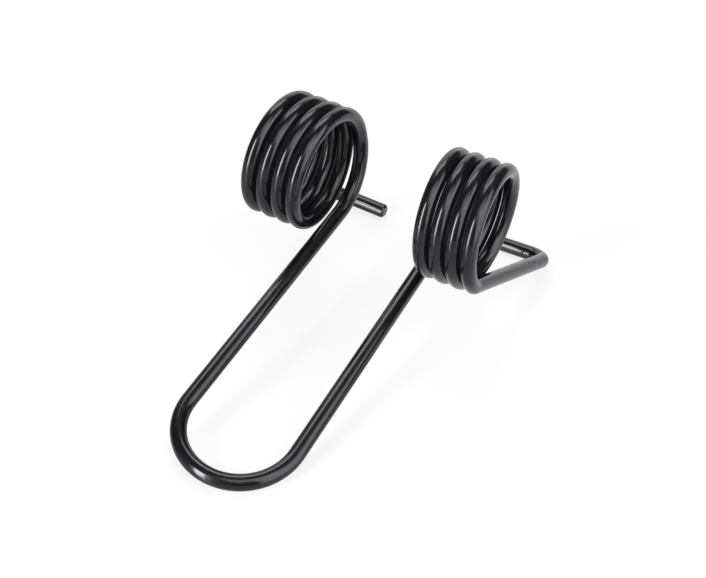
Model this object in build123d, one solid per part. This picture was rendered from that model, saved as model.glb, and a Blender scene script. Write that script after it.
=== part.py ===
from build123d import *
import os
from dataclasses import dataclass
from math import atan, cos, pi, radians, sin

# Spring tine: one round spring-steel bar, bent cold. A long loop runs into the inner ends of two coils.
# Each coil's outer end leaves through a tight bend as a straight arm, which passes back under the coil, and
# a second tight bend turns the last of the bar inward as a short tail.
# The two halves mirror each other, apart from small differences that the forming left.
# Millimetres and degrees. Radii of bends are taken at the middle of the bar.

# Bar
wire_diameter = 8.0
end_chamfer = 1.0

# Loop: a round crown, and legs that close in slightly towards the coils
crown_radius = 29.5
leg_toe_in = 0.9
right_leg = 141.0
left_leg = 137.0

# Coils: bore is the clear eye through the turns, lean tips the coil out of the plane square to the loop.
# The bar runs flat over the first part of the first turn, then a small set inward starts the helix.
# Gap is the daylight between two turns of the helix.
coil_bore = 51.0
flat_angle = 90.0
coil_set = 3.4
right_lean = -1.0
left_lean = -10.5
right_gap = 0.5
left_gap = 0.7
right_turns = 3.58
left_turns = 3.61

# Arms: exit bend is the kink from the last turn into the arm, exit roll swings its plane outward
bend_radius = 10.0
right_exit_bend = 25.5
left_exit_bend = 11.5
exit_roll = 2.5
arm_length = 90.0

# Tails: tail roll sets the bend's plane so that the tail comes back along the coil's axis
tail_roll = 93.0
tail_bend = 90.0
tail_length = 24.0


@dataclass(frozen=True)
class Side:
    """One half of the spring, where it differs from the other."""

    leg: float
    lean: float
    gap: float
    turns: float
    exit_bend: float


class Bar:
    """A bar on the bending bench: its middle line so far, and its leading end.

    The leading end is a plane with z along the bar and x towards the centre of the next bend.
    """

    def __init__(self, start: Plane):
        self.end = start
        self.path = []

    def feed(self, length: float):
        """Leave a straight length."""
        tip = self.end.origin + self.end.z_dir * length
        self.path.append(Edge.make_line(self.end.origin, tip))
        self.end = Plane(tip, x_dir=self.end.x_dir, z_dir=self.end.z_dir)

    def roll(self, angle: float):
        """Turn the bending plane about the bar."""
        toward = self.end.x_dir * cos(radians(angle)) + self.end.y_dir * sin(radians(angle))
        self.end = Plane(self.end.origin, x_dir=toward, z_dir=self.end.z_dir)

    def bend(self, radius: float, angle: float):
        """Bend towards x round a former."""
        along, toward = self.end.z_dir, self.end.x_dir
        c, s = cos(radians(angle)), sin(radians(angle))
        tip = self.end.origin + (along * s + toward * (1 - c)) * radius
        self.path.append(Edge.make_tangent_arc(self.end.origin, along, tip))
        self.end = Plane(tip, x_dir=toward * c - along * s, z_dir=along * c + toward * s)

    def coil(self, radius: float, pitch: float, turns: float):
        """Wind a helix that leaves along the bar, with its axis on the x side, and travels towards y."""
        lead = atan(pitch / (2 * pi * radius))
        axis = self.end.y_dir * cos(lead) + self.end.z_dir * sin(lead)
        centre = self.end.origin + self.end.x_dir * radius
        helix = Edge.make_helix(pitch, pitch * turns, radius)
        helix = helix.moved(Plane(centre, x_dir=-self.end.x_dir, z_dir=axis).location)
        self.path.append(helix)
        far_centre = centre + axis * (pitch * turns)
        self.end = Plane(helix @ 1, x_dir=far_centre - helix @ 1, z_dir=helix % 1)


def bend_half(side: Side) -> list:
    """The middle line of one half, from the middle of the crown to the tail's tip, as the right-hand one."""
    coil_radius = (coil_bore + wire_diameter) / 2
    bar = Bar(Plane((0, 0, 0), x_dir=(0, 1, 0), z_dir=(1, 0, 0)))
    bar.bend(crown_radius, 90 + leg_toe_in)
    bar.feed(side.leg)
    bar.roll(90 - side.lean)
    bar.bend(coil_radius, flat_angle)
    bar.roll(-90)
    bar.bend(bend_radius, coil_set)
    bar.roll(90)
    bar.coil(coil_radius, wire_diameter + side.gap, side.turns)
    bar.roll(exit_roll)
    bar.bend(bend_radius, side.exit_bend)
    bar.feed(arm_length)
    bar.roll(-tail_roll)
    bar.bend(bend_radius, tail_bend)
    bar.feed(tail_length)
    return bar.path


def resting_plane(right: list, left: list) -> Plane:
    """The ground under the crown and the two tails, facing up."""
    crown = [edge @ (step / 48) for edge in (right[0], left[0]) for step in range(49)]
    tails = [[half[-1] @ 0, half[-1] @ 1] for half in (right, left)]
    touch, feet = crown[0], [tail[1] for tail in tails]
    for _ in range(6):
        up = (feet[0] - touch).cross(feet[1] - touch).normalized()
        touch = min(crown, key=up.dot)
        feet = [min(tail, key=up.dot) for tail in tails]
    across = Vector(1, 0, 0)
    return Plane(touch, x_dir=across - up * across.dot(up), z_dir=up)


def spring_tine():
    """The whole spring, at rest on its crown and both tails, with its box centred over the origin."""
    right = bend_half(Side(right_leg, right_lean, right_gap, right_turns, right_exit_bend))
    left = bend_half(Side(left_leg, left_lean, left_gap, left_turns, left_exit_bend))
    left = [edge.mirror(Plane.YZ) for edge in left]
    middle_line = Wire(left[::-1] + right)
    bar = sweep(Plane(middle_line @ 0, z_dir=middle_line % 0) * Circle(wire_diameter / 2), path=middle_line)
    bar = chamfer(bar.faces().filter_by(GeomType.PLANE).edges(), end_chamfer)
    bar = resting_plane(right, left).location.inverse() * bar
    box = bar.bounding_box()
    return Pos(-box.center().X, -box.center().Y, -box.min.Z) * bar


os.makedirs("parts", exist_ok=True)
part = spring_tine()
part.label = "spring_tine"
export_step(part, "parts/spring_tine.step")
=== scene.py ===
"""Studio scene of the spring tine: one painted spring-steel bar on a pale floor. Metres and degrees."""

import logging
from dataclasses import dataclass
from enum import Enum
from math import atan, cos, inf, pi, radians, sin, sqrt, tan

import bpy
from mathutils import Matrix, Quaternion, Vector

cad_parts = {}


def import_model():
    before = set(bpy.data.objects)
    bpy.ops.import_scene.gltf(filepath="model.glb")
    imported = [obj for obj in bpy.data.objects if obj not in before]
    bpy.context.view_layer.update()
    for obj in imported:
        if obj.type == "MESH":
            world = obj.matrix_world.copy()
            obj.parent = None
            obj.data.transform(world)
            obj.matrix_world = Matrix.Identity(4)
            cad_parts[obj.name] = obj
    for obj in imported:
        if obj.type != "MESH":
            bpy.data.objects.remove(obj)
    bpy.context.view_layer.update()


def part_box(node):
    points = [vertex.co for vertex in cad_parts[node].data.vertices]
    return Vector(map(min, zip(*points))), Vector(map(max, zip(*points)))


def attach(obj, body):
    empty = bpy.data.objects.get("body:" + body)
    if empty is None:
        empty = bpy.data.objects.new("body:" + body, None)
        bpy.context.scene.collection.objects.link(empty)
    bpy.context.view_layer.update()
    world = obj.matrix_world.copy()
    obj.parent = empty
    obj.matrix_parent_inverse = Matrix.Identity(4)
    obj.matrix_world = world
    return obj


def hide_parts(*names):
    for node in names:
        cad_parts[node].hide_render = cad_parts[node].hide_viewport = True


LOG = logging.getLogger("spring_tine")
NODE = "spring_tine"
BODY = "root"
WHITE = (1.0, 1.0, 1.0)
QUARTER_TURN = 90.0
FULL_TURN = 360.0

# Names of the values kept on the bar's points
BAR_SPACE = "bar_space"
END_DISTANCE = "end_distance"
GROOVE = "groove"
ALONG = "along"
SECTION = "section"


class Hand(Enum):
    """Which half of the spring, as the sign of its side along X."""

    RIGHT = 1
    LEFT = -1


@dataclass(frozen=True)
class HalfSizes:
    """One half of the spring, where it differs from the other."""

    hand: Hand
    leg: float
    lean: float
    gap: float
    turns: float
    exit_bend: float


@dataclass(frozen=True)
class SpringSizes:
    """The sizes that the part is bent to."""

    diameter: float = 0.008
    end_chamfer: float = 0.0010
    crown_radius: float = 0.0295
    leg_toe_in: float = 0.9
    coil_bore: float = 0.051
    flat_angle: float = 90.0
    coil_set: float = 3.4
    bend_radius: float = 0.010
    exit_roll: float = 2.5
    arm_length: float = 0.090
    tail_roll: float = 93.0
    tail_bend: float = 90.0
    tail_length: float = 0.024
    right: HalfSizes = HalfSizes(Hand.RIGHT, leg=0.141, lean=-1.0, gap=0.0005, turns=3.58, exit_bend=25.5)
    left: HalfSizes = HalfSizes(Hand.LEFT, leg=0.137, lean=-10.5, gap=0.0007, turns=3.61, exit_bend=11.5)


class BendingBench:
    """Feeds, rolls, bends and coils a bar, and keeps the middle line of each run."""

    def __init__(self, turn_step: float, feed_step: float) -> None:
        """Start at the middle of the crown, heading along X with the first bend towards Y.

        Args:
            turn_step: Turn between two points of a bend or coil.
            feed_step: Longest distance between two points of a straight run.
        """
        self.turn_step = turn_step
        self.feed_step = feed_step
        self.tip = Vector((0.0, 0.0, 0.0))
        self.along = Vector((1.0, 0.0, 0.0))
        self.toward = Vector((0.0, 1.0, 0.0))
        self.runs: list[list[Vector]] = []

    @property
    def across(self) -> Vector:
        """The direction square to the bar and to the bending direction."""
        return self.along.cross(self.toward)

    def feed(self, length: float) -> None:
        """Leave a straight length."""
        steps = max(1, round(length / self.feed_step))
        self._keep([self.tip + self.along * (length * step / steps) for step in range(steps + 1)])

    def roll(self, angle: float) -> None:
        """Turn the bending direction about the bar."""
        turn = radians(angle)
        self.toward = self.toward * cos(turn) + self.across * sin(turn)

    def bend(self, radius: float, angle: float) -> None:
        """Bend the bar towards the bending direction round a former.

        Args:
            radius: Radius of the middle line.
            angle: Angle of the bend.
        """
        start, along, toward = self.tip, self.along, self.toward
        turns = self._turns(angle)
        self._keep([start + (along * sin(turn) + toward * (1 - cos(turn))) * radius for turn in turns])
        end = turns[-1]
        self.along = along * cos(end) + toward * sin(end)
        self.toward = toward * cos(end) - along * sin(end)

    def coil(self, radius: float, pitch: float, turns: float) -> None:
        """Wind a helix that leaves along the bar, round an axis on the bending side.

        Args:
            radius: Radius of the middle line.
            pitch: Travel along the axis in one turn.
            turns: Number of turns.
        """
        lead = atan(pitch / (2 * pi * radius))
        axis = self.across * cos(lead) + self.along * sin(lead)
        circling = (self.along - axis * sin(lead)) / cos(lead)
        centre, inward = self.tip + self.toward * radius, self.toward
        angles = self._turns(FULL_TURN * turns)
        self._keep([
            centre + (circling * sin(turn) - inward * cos(turn)) * radius + axis * (pitch * turn / (2 * pi))
            for turn in angles
        ])
        end = angles[-1]
        self.along = (inward * sin(end) + circling * cos(end)) * cos(lead) + axis * sin(lead)
        self.toward = inward * cos(end) - circling * sin(end)

    def _turns(self, angle: float) -> list[float]:
        """The angles in radians of the points along a bend."""
        steps = max(2, round(angle / self.turn_step))
        return [radians(angle) * step / steps for step in range(steps + 1)]

    def _keep(self, run: list[Vector]) -> None:
        """Add a run of points and move on to its end."""
        self.runs.append(run)
        self.tip = run[-1]


@dataclass
class MiddleLine:
    """The bar's middle line in the frame, from the left tail's tip to the right one's.

    The steps are the distances between its points: in degrees on a bend, in metres on a straight run.
    """

    sizes: SpringSizes
    turn_step: float = 2.0
    feed_step: float = 0.004
    ground_rounds: int = 6

    def points(self, low: Vector, high: Vector) -> list[Vector]:
        """Lay the spring on its crown and tails, centred in the part's box.

        Args:
            low: Lowest corner of the part's box.
            high: Highest corner of the part's box.

        Returns:
            The points of the middle line.
        """
        right, left = self._half(self.sizes.right), self._half(self.sizes.left)
        origin, up = self._ground(right, left)
        line = [point for run in left for point in run[1:]][::-1] + [right[0][0]]
        line += [point for run in right for point in run[1:]]
        across = (Vector((1.0, 0.0, 0.0)) - up * up.x).normalized()
        ahead = up.cross(across)
        line = [Vector((p.dot(across), p.dot(ahead), p.dot(up))) for p in (q - origin for q in line)]
        swept_low, swept_high = self._swept_box(line)
        shift = (low + high - swept_low - swept_high) / 2
        return [point + shift for point in line]

    def _half(self, half: HalfSizes) -> list[list[Vector]]:
        """Bend one half, from the middle of the crown to the tail's tip.

        Args:
            half: The sizes of that half.

        Returns:
            The points of each run, on that half's side.
        """
        sizes, bench = self.sizes, BendingBench(self.turn_step, self.feed_step)
        coil_radius = (sizes.coil_bore + sizes.diameter) / 2
        bench.bend(sizes.crown_radius, QUARTER_TURN + sizes.leg_toe_in)
        bench.feed(half.leg)
        bench.roll(QUARTER_TURN - half.lean)
        bench.bend(coil_radius, sizes.flat_angle)
        bench.roll(-QUARTER_TURN)
        bench.bend(sizes.bend_radius, sizes.coil_set)
        bench.roll(QUARTER_TURN)
        bench.coil(coil_radius, sizes.diameter + half.gap, half.turns)
        bench.roll(sizes.exit_roll)
        bench.bend(sizes.bend_radius, half.exit_bend)
        bench.feed(sizes.arm_length)
        bench.roll(-sizes.tail_roll)
        bench.bend(sizes.bend_radius, sizes.tail_bend)
        bench.feed(sizes.tail_length - sizes.end_chamfer)
        bench.feed(sizes.end_chamfer)
        return [[Vector((p.x * half.hand.value, p.y, p.z)) for p in run] for run in bench.runs]

    def _ground(self, right: list[list[Vector]], left: list[list[Vector]]) -> tuple[Vector, Vector]:
        """Find the ground under the crown and the two tails, in a few rounds.

        Args:
            right: Runs of the right half.
            left: Runs of the left half.

        Returns:
            A point of the ground plane and its upward direction.
        """
        crown = right[0] + left[0]
        tails = [[half[-2][0], half[-1][-1]] for half in (right, left)]
        touch, feet = crown[0], [tail[1] for tail in tails]
        for _ in range(self.ground_rounds):
            up = (feet[0] - touch).cross(feet[1] - touch).normalized()
            touch = min(crown, key=up.dot)
            feet = [min(tail, key=up.dot) for tail in tails]
        return touch, up

    def _swept_box(self, line: list[Vector]) -> tuple[Vector, Vector]:
        """The box of the round bar about a middle line.

        Args:
            line: Points of the middle line.

        Returns:
            The lowest and the highest corner.
        """
        low, high = Vector((inf,) * 3), Vector((-inf,) * 3)
        for before, point, after in zip(line[:1] + line, line, line[1:] + line[-1:]):
            tangent = (after - before).normalized()
            for axis in range(3):
                reach = self.sizes.diameter / 2 * sqrt(max(0.0, 1 - tangent[axis] ** 2))
                low[axis] = min(low[axis], point[axis] - reach)
                high[axis] = max(high[axis], point[axis] + reach)
        return low, high


class NodeTree:
    """Short calls for building a node tree."""

    def __init__(self, tree: bpy.types.NodeTree) -> None:
        """Work on a tree, which may already hold nodes."""
        self.tree = tree

    def add(self, kind: str, inputs: dict | None = None, **settings: object) -> bpy.types.Node:
        """Add a node.

        Args:
            kind: Blender's name of the node type.
            inputs: For each input, by name or place, a value or the output socket to link.
            **settings: Attributes of the node.

        Returns:
            The node.
        """
        node = self.tree.nodes.new(kind)
        for name, value in settings.items():
            setattr(node, name, value)
        for key, value in (inputs or {}).items():
            self.feed(node.inputs[key], value)
        return node

    def math(self, operation: str, *values: object, clamp: bool = False) -> bpy.types.NodeSocket:
        """Add a Math node and return its output."""
        node = self.add("ShaderNodeMath", dict(enumerate(values)), operation=operation, use_clamp=clamp)
        return node.outputs[0]

    def vector(self, operation: str, *values: object, output: int = 0) -> bpy.types.NodeSocket:
        """Add a Vector Math node and return one of its outputs."""
        node = self.add("ShaderNodeVectorMath", dict(enumerate(values)), operation=operation)
        return node.outputs[output]

    def scaled(self, vector: bpy.types.NodeSocket, factor: object) -> bpy.types.NodeSocket:
        """Scale a vector by a factor, which is a socket or a value."""
        return self.add("ShaderNodeVectorMath", {0: vector, "Scale": factor}, operation="SCALE").outputs[0]

    def noise(self, place: bpy.types.NodeSocket, scale: object, detail: float) -> bpy.types.NodeSocket:
        """Add a noise texture and return its value."""
        node = self.add("ShaderNodeTexNoise", {"Vector": place, "Scale": scale, "Detail": detail})
        return node.outputs[0]

    def feed(self, socket: bpy.types.NodeSocket, value: object) -> None:
        """Link a socket into an input, or set the input to a value.

        Args:
            socket: The input.
            value: The output socket to link, or the value, which for a colour may leave out alpha.
        """
        if isinstance(value, bpy.types.NodeSocket):
            self.tree.links.new(value, socket)
        elif socket.type == "RGBA" and len(value) == 3:
            socket.default_value = (*value, 1.0)
        else:
            socket.default_value = value

    def blend(self, share: bpy.types.NodeSocket, first: object, second: object) -> bpy.types.NodeSocket:
        """Mix two colours.

        Args:
            share: Share of the second colour.
            first: The first colour, a socket or a value.
            second: The second colour, a socket or a value.

        Returns:
            The mixed colour.
        """
        node = self.add("ShaderNodeMix", data_type="RGBA")
        ends = [socket for socket in node.inputs if socket.type == "RGBA"]
        self.feed(node.inputs["Factor"], share)
        for socket, colour in zip(ends, (first, second)):
            self.feed(socket, colour)
        return next(socket for socket in node.outputs if socket.type == "RGBA")

    def ramp(self, value: bpy.types.NodeSocket, ends: tuple[float, float], low: float = 0.0,
             high: float = 1.0, smooth: bool = True) -> bpy.types.NodeSocket:
        """Map a value that runs between two ends to a value between low and high, and hold it beyond them.

        Args:
            value: The value.
            ends: Where low and high are reached.
            low: Result at the first end.
            high: Result at the second end.
            smooth: Whether the change eases in and out.

        Returns:
            The mapped value.
        """
        node = self.add("ShaderNodeMapRange", {
            "Value": value, "From Min": ends[0], "From Max": ends[1], "To Min": low, "To Max": high,
        }, interpolation_type="SMOOTHSTEP" if smooth else "LINEAR")
        return node.outputs["Result"]

    def socket(self, name: str, kind: str, out: bool = False, value: object = None) -> None:
        """Add a named socket to a node group.

        Args:
            name: The socket's name.
            kind: Blender's name of the socket type.
            out: Whether it is an output.
            value: Its default value.
        """
        in_out = "OUTPUT" if out else "INPUT"
        item = self.tree.interface.new_socket(name=name, in_out=in_out, socket_type=kind)
        if value is not None:
            item.default_value = value


def put_in_scene(name: str, data: bpy.types.ID) -> bpy.types.Object:
    """Make an object of a mesh, lamp or camera, at the origin, and put it in the scene.

    Args:
        name: The object's name.
        data: The mesh, lamp or camera.

    Returns:
        The object.
    """
    item = bpy.data.objects.new(name, data)
    bpy.context.scene.collection.objects.link(item)
    return item


def empty_material(name: str) -> tuple[bpy.types.Material, NodeTree]:
    """Start a material that has no nodes yet.

    Args:
        name: The material's name.

    Returns:
        The material and its tree.
    """
    material = bpy.data.materials.new(name)
    material.use_nodes = True
    material.node_tree.nodes.clear()
    return material, NodeTree(material.node_tree)


@dataclass
class SweptBar:
    """The round bar swept along the middle line, with chamfered ends, as one closed mesh."""

    sizes: SpringSizes
    sides: int = 48
    sharp_edge: float = 30.0

    def build(self, line: list[Vector], paint: bpy.types.Material) -> bpy.types.Object:
        """Sweep the bar.

        Args:
            line: Points of the middle line.
            paint: Material of the bar.

        Returns:
            The finished mesh object, at the origin.
        """
        rail = bpy.data.meshes.new("bar_middle_line")
        rail.from_pydata(line, [(i, i + 1) for i in range(len(line) - 1)], [])
        carrier = put_in_scene("bar_middle_line", rail)
        tree = self._tree()
        modifier = carrier.modifiers.new("sweep", "NODES")
        modifier.node_group = tree
        values = {
            "Bar Diameter": self.sizes.diameter, "End Chamfer": self.sizes.end_chamfer,
            "Sides": self.sides, "Sharp Edge": radians(self.sharp_edge), "Paint": paint,
        }
        for item in tree.interface.items_tree:
            if item.name in values:
                modifier[item.identifier] = values[item.name]
        evaluated = carrier.evaluated_get(bpy.context.evaluated_depsgraph_get())
        mesh = bpy.data.meshes.new_from_object(evaluated)
        carrier.modifiers.remove(modifier)
        bpy.data.objects.remove(carrier)
        mesh.name = "painted_bar"
        mesh.materials.clear()
        mesh.materials.append(paint)
        return put_in_scene("painted_bar", mesh)

    def _tree(self) -> bpy.types.NodeTree:
        """Build the tree: line to curve, ends drawn in, round section swept, places and grooves kept on it.

        Returns:
            The geometry node tree.
        """
        tree = bpy.data.node_groups.new("sweep_round_bar", "GeometryNodeTree")
        nodes = NodeTree(tree)
        nodes.socket("Geometry", "NodeSocketGeometry")
        nodes.socket("Bar Diameter", "NodeSocketFloat", value=self.sizes.diameter)
        nodes.socket("End Chamfer", "NodeSocketFloat", value=self.sizes.end_chamfer)
        nodes.socket("Sides", "NodeSocketInt", value=self.sides)
        nodes.socket("Sharp Edge", "NodeSocketFloat", value=radians(self.sharp_edge))
        nodes.socket("Paint", "NodeSocketMaterial")
        nodes.socket("Geometry", "NodeSocketGeometry", out=True)
        sizes = nodes.add("NodeGroupInput").outputs
        curve = nodes.add("GeometryNodeMeshToCurve", {"Mesh": sizes["Geometry"]}).outputs["Curve"]
        along = nodes.add("GeometryNodeSplineParameter").outputs["Length"]
        total = nodes.add("GeometryNodeSplineLength").outputs["Length"]
        from_end = nodes.math("MINIMUM", along, nodes.math("SUBTRACT", total, along))
        radius = nodes.math("MULTIPLY", sizes["Bar Diameter"], 0.5)
        cut = nodes.math("SUBTRACT", sizes["End Chamfer"], from_end)
        share = nodes.math("SUBTRACT", 1.0, nodes.math("DIVIDE", nodes.math("MAXIMUM", cut, 0.0), radius))
        curve = self._keep_on_points(nodes, curve, ALONG, along)
        curve = self._keep_on_points(nodes, curve, END_DISTANCE, from_end)
        ring = nodes.add("GeometryNodeCurvePrimitiveCircle", {"Resolution": sizes["Sides"], "Radius": radius})
        place = nodes.add("GeometryNodeInputPosition").outputs["Position"]
        section = self._keep_on_points(nodes, ring.outputs["Curve"], SECTION, place, "FLOAT_VECTOR")
        sweep = nodes.add("GeometryNodeCurveToMesh", {
            "Curve": curve, "Profile Curve": section, "Scale": share, "Fill Caps": True})
        mesh = self._surface_coordinates(nodes, sweep.outputs["Mesh"])
        mesh = self._grooves(nodes, mesh, sizes["Geometry"], sizes["Bar Diameter"])
        angle = nodes.add("GeometryNodeInputMeshEdgeAngle").outputs["Unsigned Angle"]
        sharp = nodes.add("FunctionNodeCompare", {0: angle, 1: sizes["Sharp Edge"]}, operation="GREATER_THAN")
        mesh = nodes.add("GeometryNodeSetShadeSmooth", {
            "Geometry": mesh, "Selection": sharp.outputs[0], "Shade Smooth": False}, domain="EDGE").outputs[0]
        mesh = nodes.add("GeometryNodeRealizeInstances", {0: mesh}).outputs[0]
        mesh = nodes.add("GeometryNodeSetMaterial", {"Geometry": mesh, "Material": sizes["Paint"]}).outputs[0]
        nodes.add("NodeGroupOutput", {"Geometry": mesh})
        return tree

    @staticmethod
    def _keep_on_points(nodes: NodeTree, geometry: bpy.types.NodeSocket, name: str,
                        value: bpy.types.NodeSocket, kind: str = "FLOAT") -> bpy.types.NodeSocket:
        """Store a value on the points under a name, and return the geometry."""
        return nodes.add("GeometryNodeStoreNamedAttribute", {
            "Geometry": geometry, "Name": name, "Value": value}, data_type=kind, domain="POINT").outputs[0]

    def _surface_coordinates(self, nodes: NodeTree, mesh: bpy.types.NodeSocket) -> bpy.types.NodeSocket:
        """Store each point's place in the bar as if it were straight, for patterns that follow it.

        Args:
            nodes: The tree.
            mesh: The swept mesh.

        Returns:
            The mesh with the named attribute.
        """
        along = nodes.add("GeometryNodeInputNamedAttribute", {"Name": ALONG}, data_type="FLOAT")
        section = nodes.add("GeometryNodeInputNamedAttribute", {"Name": SECTION}, data_type="FLOAT_VECTOR")
        split = nodes.add("ShaderNodeSeparateXYZ", {0: section.outputs["Attribute"]})
        straight = nodes.add("ShaderNodeCombineXYZ", {
            0: split.outputs[0], 1: split.outputs[1], 2: along.outputs["Attribute"]})
        return self._keep_on_points(nodes, mesh, BAR_SPACE, straight.outputs[0], "FLOAT_VECTOR")

    def _grooves(self, nodes: NodeTree, mesh: bpy.types.NodeSocket, line: bpy.types.NodeSocket,
                 diameter: bpy.types.NodeSocket) -> bpy.types.NodeSocket:
        """Store how squarely each point faces another turn of the bar, from 0, none near, to 1, touching.

        It looks one bar radius outwards from the point, and measures from there to the bar's middle line.

        Args:
            nodes: The tree.
            mesh: The swept mesh.
            line: The bar's middle line.
            diameter: The bar's diameter.

        Returns:
            The mesh with the named value.
        """
        place = nodes.add("GeometryNodeInputPosition").outputs["Position"]
        normal = nodes.add("GeometryNodeInputNormal").outputs["Normal"]
        outward = nodes.scaled(normal, nodes.math("MULTIPLY", diameter, 0.5))
        near = nodes.add("GeometryNodeProximity", {
            "Geometry": line, "Sample Position": nodes.vector("ADD", place, outward)}, target_element="EDGES")
        away = nodes.math("DIVIDE", near.outputs["Distance"], diameter)
        facing = nodes.math("SUBTRACT", 1.0, away, clamp=True)
        return self._keep_on_points(nodes, mesh, GROOVE, facing)


@dataclass(frozen=True)
class Mark:
    """A small dent: its distance from the right tail's tip, its angle round the bar, its size and depth.

    Chipped is the share of the paint that is gone in it.
    """

    from_tip: float
    angle: float
    size: float
    depth: float
    chipped: float = 1.0


@dataclass(frozen=True)
class GlossPaint:
    """Gloss black stoving paint on drawn spring wire, with faint peel and the wire's draw lines under it.

    Haze, rub, chip roughness and groove roughness are what clouds in the film, the bar's ends, chips and the
    grooves between turns add to the roughness. Cloud scale and dent grain are noise scales, per metre.
    """

    colour: tuple[float, float, float] = (0.0034, 0.0034, 0.0044)
    thin_colour: tuple[float, float, float] = (0.0080, 0.0078, 0.0084)
    chip_colour: tuple[float, float, float] = (0.006, 0.005, 0.005)
    reflection_tint: tuple[float, float, float] = (0.975, 0.965, 1.0)
    roughness: float = 0.12
    haze: float = 0.06
    rub: float = 0.07
    rub_length: float = 0.030
    chip_roughness: float = 0.45
    refraction: float = 1.5
    peel_size: float = 0.0024
    peel_depth: float = 0.0000014
    line_pitch: float = 0.0006
    line_length: float = 0.045
    line_depth: float = 0.0000007
    groove_roughness: float = 0.5
    groove_ends: tuple[float, float] = (0.4, 0.75)
    cloud_scale: float = 60.0
    cloud_ends: tuple[float, float] = (0.35, 0.75)
    dent_grain: float = 2500.0
    marks: tuple[Mark, ...] = (
        Mark(from_tip=0.0521, angle=-8, size=0.0015, depth=0.00022),
        Mark(from_tip=0.0575, angle=-33, size=0.0013, depth=0.00016),
        Mark(from_tip=0.0644, angle=-45, size=0.0014, depth=0.00018),
        Mark(from_tip=0.0207, angle=-160, size=0.0013, depth=0.00018, chipped=0.5),
    )

    def material(self, bar_radius: float, bar_length: float) -> bpy.types.Material:
        """Build the paint.

        Args:
            bar_radius: Radius of the painted bar.
            bar_length: Length of the bar's middle line.

        Returns:
            The material.
        """
        material = bpy.data.materials.new("gloss_black_paint")
        material.use_nodes = True
        nodes = NodeTree(material.node_tree)
        shader = material.node_tree.nodes["Principled BSDF"]
        shader.inputs["IOR"].default_value = self.refraction
        shader.inputs["Specular Tint"].default_value = (*self.reflection_tint, 1.0)
        place = nodes.add("ShaderNodeAttribute", attribute_name=BAR_SPACE).outputs["Vector"]
        from_end = nodes.add("ShaderNodeAttribute", attribute_name=END_DISTANCE).outputs["Fac"]
        film = nodes.add("ShaderNodeGroup", node_tree=paint_film())
        for name, value in {
            "Place": place, "Peel Size": self.peel_size, "Peel Depth": self.peel_depth,
            "Line Pitch": self.line_pitch, "Line Length": self.line_length, "Line Depth": self.line_depth,
            "Cloud Scale": self.cloud_scale, "Cloud Start": self.cloud_ends[0],
            "Cloud Full": self.cloud_ends[1],
        }.items():
            nodes.feed(film.inputs[name], value)
        chipped, height = self._marks(nodes, place, film.outputs["Height"], bar_radius, bar_length)
        colour = nodes.blend(film.outputs["Thin"], self.colour, self.thin_colour)
        nodes.feed(shader.inputs["Base Color"], nodes.blend(chipped, colour, self.chip_colour))
        rubbed = nodes.ramp(from_end, (0.0, self.rub_length), low=self.rub, high=0.0, smooth=False)
        rough = nodes.math("MULTIPLY_ADD", film.outputs["Haze"], self.haze, self.roughness)
        rough = nodes.math("ADD", rough, rubbed)
        groove = nodes.add("ShaderNodeAttribute", attribute_name=GROOVE).outputs["Fac"]
        rough = nodes.math("ADD", rough, nodes.ramp(groove, self.groove_ends, high=self.groove_roughness))
        rough = nodes.math("MULTIPLY_ADD", chipped, self.chip_roughness, rough, clamp=True)
        nodes.feed(shader.inputs["Roughness"], rough)
        bump = nodes.add("ShaderNodeBump", {"Height": height, "Strength": 1.0, "Distance": 1.0})
        nodes.feed(shader.inputs["Normal"], bump.outputs["Normal"])
        return material

    def _marks(self, nodes: NodeTree, place: bpy.types.NodeSocket, height: bpy.types.NodeSocket,
               bar_radius: float, bar_length: float) -> tuple[bpy.types.NodeSocket, bpy.types.NodeSocket]:
        """Place the marks on the bar.

        Args:
            nodes: The material's tree.
            place: The point in the straightened bar's space.
            height: The film's height.
            bar_radius: Radius of the painted bar.
            bar_length: Length of the bar's middle line.

        Returns:
            How far the paint is chipped, and the height with the marks in it.
        """
        chipped = 0.0
        for mark in self.marks:
            turn = radians(mark.angle)
            centre = (bar_radius * cos(turn), bar_radius * sin(turn), bar_length - mark.from_tip)
            dent = nodes.add("ShaderNodeGroup", node_tree=ragged_dent())
            values = {"Place": place, "Centre": centre, "Size": mark.size, "Grain": self.dent_grain}
            for name, value in values.items():
                nodes.feed(dent.inputs[name], value)
            inside = dent.outputs["Inside"]
            height = nodes.math("MULTIPLY_ADD", inside, -mark.depth, height)
            chipped = nodes.math("MAXIMUM", chipped, nodes.math("MULTIPLY", inside, mark.chipped))
        return chipped, height


def shader_group(name: str, inputs: dict[str, str], outputs: tuple[str, ...]) -> tuple[NodeTree, object]:
    """Start a shader node group with its sockets.

    Args:
        name: The group's name.
        inputs: For each input its socket type.
        outputs: The names of the outputs, which are single values.

    Returns:
        The group's tree and the outputs of its input node.
    """
    nodes = NodeTree(bpy.data.node_groups.new(name, "ShaderNodeTree"))
    for socket, kind in inputs.items():
        nodes.socket(socket, kind)
    for socket in outputs:
        nodes.socket(socket, "NodeSocketFloat", out=True)
    return nodes, nodes.add("NodeGroupInput").outputs


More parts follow.
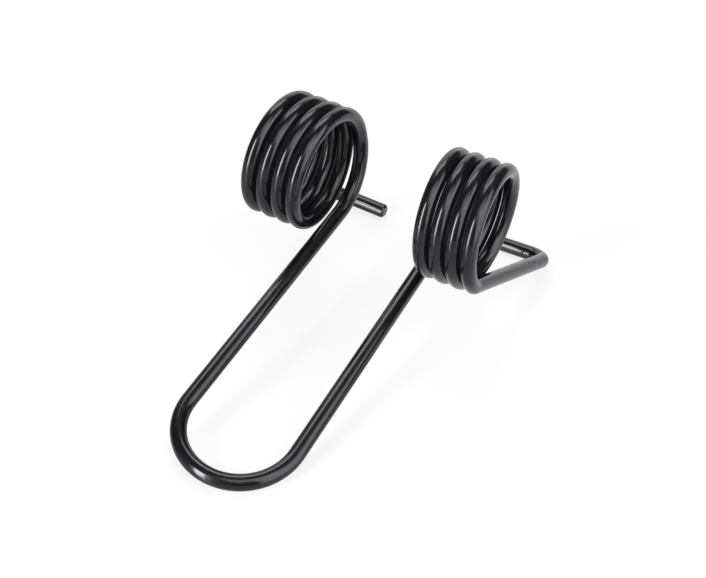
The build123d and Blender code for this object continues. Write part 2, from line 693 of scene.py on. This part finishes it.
def paint_film() -> bpy.types.NodeTree:
    """Build the shader group for a thin paint film on drawn wire, once.

    Returns:
        The group, which puts out the film's height, its haze and how thin it is.
    """
    name = "paint_film"
    if name in bpy.data.node_groups:
        return bpy.data.node_groups[name]
    peel_detail, line_detail, cloud_detail = 1.0, 2.0, 3.0
    values = (
        "Peel Size", "Peel Depth", "Line Pitch", "Line Length", "Line Depth", "Cloud Scale", "Cloud Start",
        "Cloud Full")
    inputs = {"Place": "NodeSocketVector", **dict.fromkeys(values, "NodeSocketFloat")}
    nodes, sizes = shader_group(name, inputs, ("Height", "Haze", "Thin"))
    peel_place = nodes.scaled(sizes["Place"], nodes.math("DIVIDE", 1.0, sizes["Peel Size"]))
    peel = nodes.noise(peel_place, 1.0, peel_detail)
    split = nodes.add("ShaderNodeSeparateXYZ", {0: sizes["Place"]}).outputs
    stretched = nodes.add("ShaderNodeCombineXYZ", {
        0: nodes.math("DIVIDE", split[0], sizes["Line Pitch"]),
        1: nodes.math("DIVIDE", split[1], sizes["Line Pitch"]),
        2: nodes.math("DIVIDE", split[2], sizes["Line Length"]),
    })
    lines = nodes.noise(stretched.outputs[0], 1.0, line_detail)
    height = nodes.math("MULTIPLY", lines, sizes["Line Depth"])
    height = nodes.math("MULTIPLY_ADD", peel, sizes["Peel Depth"], height)
    cloud = nodes.noise(sizes["Place"], sizes["Cloud Scale"], cloud_detail)
    haze = nodes.ramp(cloud, (sizes["Cloud Start"], sizes["Cloud Full"]), smooth=False)
    thin = nodes.math("MULTIPLY", haze, lines)
    nodes.add("NodeGroupOutput", {"Height": height, "Haze": haze, "Thin": thin})
    return nodes.tree


def ragged_dent() -> bpy.types.NodeTree:
    """Build the shader group for one small dent with a ragged outline, once.

    Returns:
        The group, which puts out 1 inside the dent and 0 outside.
    """
    name = "ragged_dent"
    if name in bpy.data.node_groups:
        return bpy.data.node_groups[name]
    grain_detail, least_reach, rim = 1.0, 0.1, (1.1, 0.7)
    inputs = {
        "Place": "NodeSocketVector", "Centre": "NodeSocketVector", "Size": "NodeSocketFloat",
        "Grain": "NodeSocketFloat",
    }
    nodes, sizes = shader_group(name, inputs, ("Inside",))
    away = nodes.vector("DISTANCE", sizes["Place"], sizes["Centre"], output=1)
    ragged = nodes.noise(sizes["Place"], sizes["Grain"], grain_detail)
    reach = nodes.math("MULTIPLY", sizes["Size"], nodes.math("ADD", ragged, least_reach))
    inside = nodes.ramp(nodes.math("DIVIDE", away, reach), rim)
    nodes.add("NodeGroupOutput", {"Inside": inside})
    return nodes.tree


@dataclass(frozen=True)
class Softbox:
    """A soft studio lamp, placed and sized by the angles under which the spring sees it.

    Radiance is its brightness, where 1 is the white of the picture.
    """

    name: str
    azimuth: float
    elevation: float
    width: float
    height: float
    radiance: float
    distance: float = 1.5

    def build(self, aim: Vector) -> bpy.types.Object:
        """Hang the lamp so that it faces the spring.

        Args:
            aim: The point that it faces.

        Returns:
            The lamp.
        """
        wide = 2 * self.distance * tan(radians(self.width / 2))
        high = 2 * self.distance * tan(radians(self.height / 2))
        data = bpy.data.lights.new(self.name, "AREA")
        data.shape = "RECTANGLE"
        data.size, data.size_y = wide, high
        data.energy = self.radiance * pi * wide * high
        lamp = put_in_scene(self.name, data)
        lamp.location = aim + bearing(self.azimuth, self.elevation) * self.distance
        lamp.rotation_mode = "QUATERNION"
        lamp.rotation_quaternion = (aim - lamp.location).to_track_quat("-Z", "Y")
        lamp.visible_camera = False
        return lamp


def bearing(azimuth: float, elevation: float) -> Vector:
    """The direction from the spring at an azimuth, 0 towards -Y and 90 towards +X, and an elevation."""
    a, e = radians(azimuth), radians(elevation)
    return Vector((sin(a) * cos(e), -cos(a) * cos(e), sin(e)))


@dataclass(frozen=True)
class PaleFloor:
    """The floor, satin beside the spring, where its soft shadow lies, and plain white further off.

    The paint mirrors it in a softer tone, with a painted pool of light, lighter and lilac, about one azimuth.
    White start and full are distances from the middle. White near is the share of white beside the spring,
    and mirrored white its share in the paint, away from the painted light's azimuth and at it, where it adds
    to it.
    """

    radius: float = 6.0
    rim_points: int = 64
    roughness: float = 0.25
    tone: tuple[float, float, float] = (0.86, 0.86, 0.86)
    mirrored_tone: tuple[float, float, float] = (0.50, 0.495, 0.51)
    # Painted pool of light in the paint's view of the floor: its lighter lilac tone, its azimuth and its
    # spread
    mirrored_painted_light_tone: tuple[float, float, float] = (0.92, 0.88, 1.0)
    painted_light_azimuth: float = 148.0
    painted_light_ends: tuple[float, float] = (0.5, 0.85)
    white_start: float = 0.28
    white_full: float = 0.75
    white_near: float = 0.76
    mirrored_white: tuple[float, float] = (0.1, 0.7)

    def build(self) -> bpy.types.Object:
        """Lay the floor.

        Returns:
            The floor.
        """
        mesh = bpy.data.meshes.new("floor")
        turns = [2 * pi * i / self.rim_points for i in range(self.rim_points)]
        rim = [(self.radius * cos(turn), self.radius * sin(turn), 0.0) for turn in turns]
        mesh.from_pydata(rim, [], [tuple(range(self.rim_points))])
        mesh.materials.append(self._material())
        return put_in_scene("floor", mesh)

    def _material(self) -> bpy.types.Material:
        """Build the satin floor that turns plain white away from the spring.

        Returns:
            The material.
        """
        material, nodes = empty_material("pale_floor")
        rays = nodes.add("ShaderNodeLightPath").outputs
        place = nodes.add("ShaderNodeTexCoord").outputs["Object"]
        heading = nodes.vector("NORMALIZE", place)
        # Painted pool of light: the floor, as the paint mirrors it, turns lighter and lilac towards one
        # azimuth
        facing = nodes.vector("DOT_PRODUCT", heading, tuple(bearing(self.painted_light_azimuth, 0.0)), output=1)
        painted_light_share = nodes.ramp(facing, self.painted_light_ends)
        mirrored = nodes.blend(painted_light_share, self.mirrored_tone, self.mirrored_painted_light_tone)
        colour = nodes.blend(rays["Is Glossy Ray"], self.tone, mirrored)
        lit = nodes.add("ShaderNodeBsdfPrincipled", {"Base Color": colour, "Roughness": self.roughness})
        white = nodes.add("ShaderNodeEmission", {"Color": WHITE, "Strength": 1.0})
        away = nodes.vector("LENGTH", place, output=1)
        far = nodes.ramp(away, (self.white_start, self.white_full), low=self.white_near)
        seen = nodes.math("ADD", rays["Is Camera Ray"], rays["Is Transmission Ray"])
        # More plain white in the paint towards that azimuth, also part of the painted pool of light
        in_paint = nodes.ramp(facing, self.painted_light_ends, *self.mirrored_white)
        seen = nodes.math("MULTIPLY_ADD", rays["Is Glossy Ray"], in_paint, seen)
        share = nodes.math("MULTIPLY", far, seen, clamp=True)
        mixed = nodes.add("ShaderNodeMixShader", {0: share, 1: lit.outputs[0], 2: white.outputs[0]})
        nodes.add("ShaderNodeOutputMaterial", {"Surface": mixed.outputs[0]})
        return material


@dataclass(frozen=True)
class Glow:
    """A lighter or darker patch of the surround: its middle, its reach in degrees, and the change of tone."""

    azimuth: float
    elevation: float
    reach: float
    change: float


@dataclass(frozen=True)
class Surround:
    """A grey dome of cloth for the gloss to mirror, which the camera looks through.

    Core is the part of a glow's reach over which it is full.
    """

    radius: float = 2.6
    rings: int = 12
    steps: int = 48
    tone: float = 0.10
    core: float = 0.4
    glows: tuple[Glow, ...] = (
        Glow(azimuth=-85, elevation=25, reach=50, change=-0.03),
        Glow(azimuth=-22, elevation=10, reach=45, change=0.3),
        Glow(azimuth=20, elevation=57, reach=40, change=0.25),
        Glow(azimuth=86, elevation=28, reach=20, change=0.4),
        Glow(azimuth=-178, elevation=-6, reach=26, change=1.2),
        Glow(azimuth=-150, elevation=5, reach=36, change=0.2),
        Glow(azimuth=-115, elevation=24, reach=18, change=0.25),
        Glow(azimuth=-112, elevation=47, reach=16, change=0.45),
        Glow(azimuth=110, elevation=57, reach=14, change=0.5),
        Glow(azimuth=167, elevation=63, reach=22, change=0.25),
    )

    def build(self) -> bpy.types.Object:
        """Hang the dome.

        Returns:
            The dome.
        """
        rings, steps = self.rings, self.steps
        verts = [
            tuple(bearing(FULL_TURN * step / steps, QUARTER_TURN * ring / rings) * self.radius)
            for ring in range(rings) for step in range(steps)
        ]
        top = len(verts)
        verts.append((0.0, 0.0, self.radius))
        faces = []
        for start in range(0, top, steps):
            closing = start + steps == top
            for step in range(steps):
                first, second = start + step, start + (step + 1) % steps
                upper = (top,) if closing else (second + steps, first + steps)
                faces.append((first, second, *upper))
        mesh = bpy.data.meshes.new("surround")
        mesh.from_pydata(verts, [], faces)
        mesh.materials.append(self._material())
        dome = put_in_scene("surround", mesh)
        dome.visible_camera = False
        return dome

    def _material(self) -> bpy.types.Material:
        """Build the grey cloth that glows a little, more in some directions.

        Returns:
            The material.
        """
        material, nodes = empty_material("grey_surround")
        place = nodes.add("ShaderNodeTexCoord").outputs["Object"]
        heading = nodes.vector("NORMALIZE", place)
        tone = self.tone
        for glow in self.glows:
            middle = tuple(bearing(glow.azimuth, glow.elevation))
            facing = nodes.vector("DOT_PRODUCT", heading, middle, output=1)
            ends = (cos(radians(glow.reach)), cos(radians(glow.reach * self.core)))
            tone = nodes.math("ADD", nodes.ramp(facing, ends, high=glow.change), tone)
        cloth = nodes.add("ShaderNodeEmission", {"Color": WHITE, "Strength": tone})
        nodes.add("ShaderNodeOutputMaterial", {"Surface": cloth.outputs[0]})
        return material


@dataclass(frozen=True)
class Background:
    """The world: white to the camera, also mirrored or through glass, and a plain grey light otherwise."""

    light: float = 0.4

    def build(self) -> bpy.types.World:
        """Set the world.

        Returns:
            The world.
        """
        world = bpy.data.worlds.new("white_background")
        world.use_nodes = True
        world.node_tree.nodes.clear()
        nodes = NodeTree(world.node_tree)
        rays = nodes.add("ShaderNodeLightPath").outputs
        seen = nodes.math("ADD", rays["Is Camera Ray"], rays["Is Glossy Ray"])
        seen = nodes.math("ADD", seen, rays["Is Transmission Ray"], clamp=True)
        strength = nodes.math("MULTIPLY_ADD", seen, 1.0 - self.light, self.light)
        back = nodes.add("ShaderNodeBackground", {"Color": WHITE, "Strength": strength})
        nodes.add("ShaderNodeOutputWorld", {"Surface": back.outputs[0]})
        bpy.context.scene.world = world
        return world


@dataclass(frozen=True)
class Studio:
    """Six soft lamps round the spring, a pale floor, a grey surround and a white background."""

    aim: tuple[float, float, float] = (0.0, 0.0, 0.05)
    floor: PaleFloor = PaleFloor()
    surround: Surround = Surround()
    background: Background = Background()
    lamps: tuple[Softbox, ...] = (
        Softbox("right_softbox", azimuth=81, elevation=21, width=64, height=60, radiance=2.85, distance=0.9),
        Softbox("overhead_panel", azimuth=40, elevation=59, width=40, height=32, radiance=2.0),
        Softbox("back_softbox", azimuth=-141, elevation=59, width=35, height=23, radiance=3.75, distance=0.9),
        Softbox("back_panel", azimuth=-148, elevation=25, width=54, height=38, radiance=0.95),
        Softbox("front_strip", azimuth=-22, elevation=15, width=13, height=52, radiance=15.5),
        Softbox(
            "front_strip_halo", azimuth=-21, elevation=11, width=27, height=46, radiance=1.5, distance=1.55),
    )

    def build(self) -> None:
        """Build the studio."""
        for softbox in self.lamps:
            lamp = softbox.build(Vector(self.aim))
            LOG.info("lamp %s, %.2f by %.2f m", lamp.name, lamp.data.size, lamp.data.size_y)
        self.floor.build()
        self.surround.build()
        world = self.background.build()
        LOG.info("floor, surround and world %s", world.name)


@dataclass(frozen=True)
class Viewpoint:
    """The camera, at the photograph's viewing angle and distance."""

    azimuth: float = 27.884
    elevation: float = 37.070
    distance: float = 0.6626
    roll: float = 0.936
    lens: float = 70.30
    sensor_width: float = 36.0
    clip: tuple[float, float] = (0.05, 20.0)
    aim: tuple[float, float, float] = (0.01485, -0.01484, 0.05)

    def build(self) -> bpy.types.Object:
        """Set up the camera.

        Returns:
            The camera.
        """
        data = bpy.data.cameras.new("camera")
        data.lens, data.sensor_width = self.lens, self.sensor_width
        data.clip_start, data.clip_end = self.clip
        camera = put_in_scene("camera", data)
        back = bearing(self.azimuth, self.elevation)
        camera.location = Vector(self.aim) + back * self.distance
        camera.rotation_mode = "QUATERNION"
        level = (-back).to_track_quat("-Z", "Y")
        camera.rotation_quaternion = level @ Quaternion((0.0, 0.0, 1.0), radians(self.roll))
        bpy.context.scene.camera = camera
        return camera


def main() -> None:
    """Build the spring, the studio and the camera."""
    logging.basicConfig(level=logging.INFO, format="%(name)s: %(message)s")
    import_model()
    sizes = SpringSizes()
    low, high = (Vector(corner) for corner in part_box(NODE))
    line = MiddleLine(sizes).points(low, high)
    length = sum((after - before).length for before, after in zip(line, line[1:]))
    bar = SweptBar(sizes).build(line, GlossPaint().material(sizes.diameter / 2, length))
    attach(bar, BODY)
    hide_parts(NODE)
    LOG.info("bar of %d rings, %d faces", len(line), len(bar.data.polygons))
    Studio().build()
    camera = Viewpoint().build()
    LOG.info("camera with a %.1f mm lens", camera.data.lens)
    bpy.context.scene.view_settings.view_transform = "Standard"


if __name__ == "__main__":
    main()
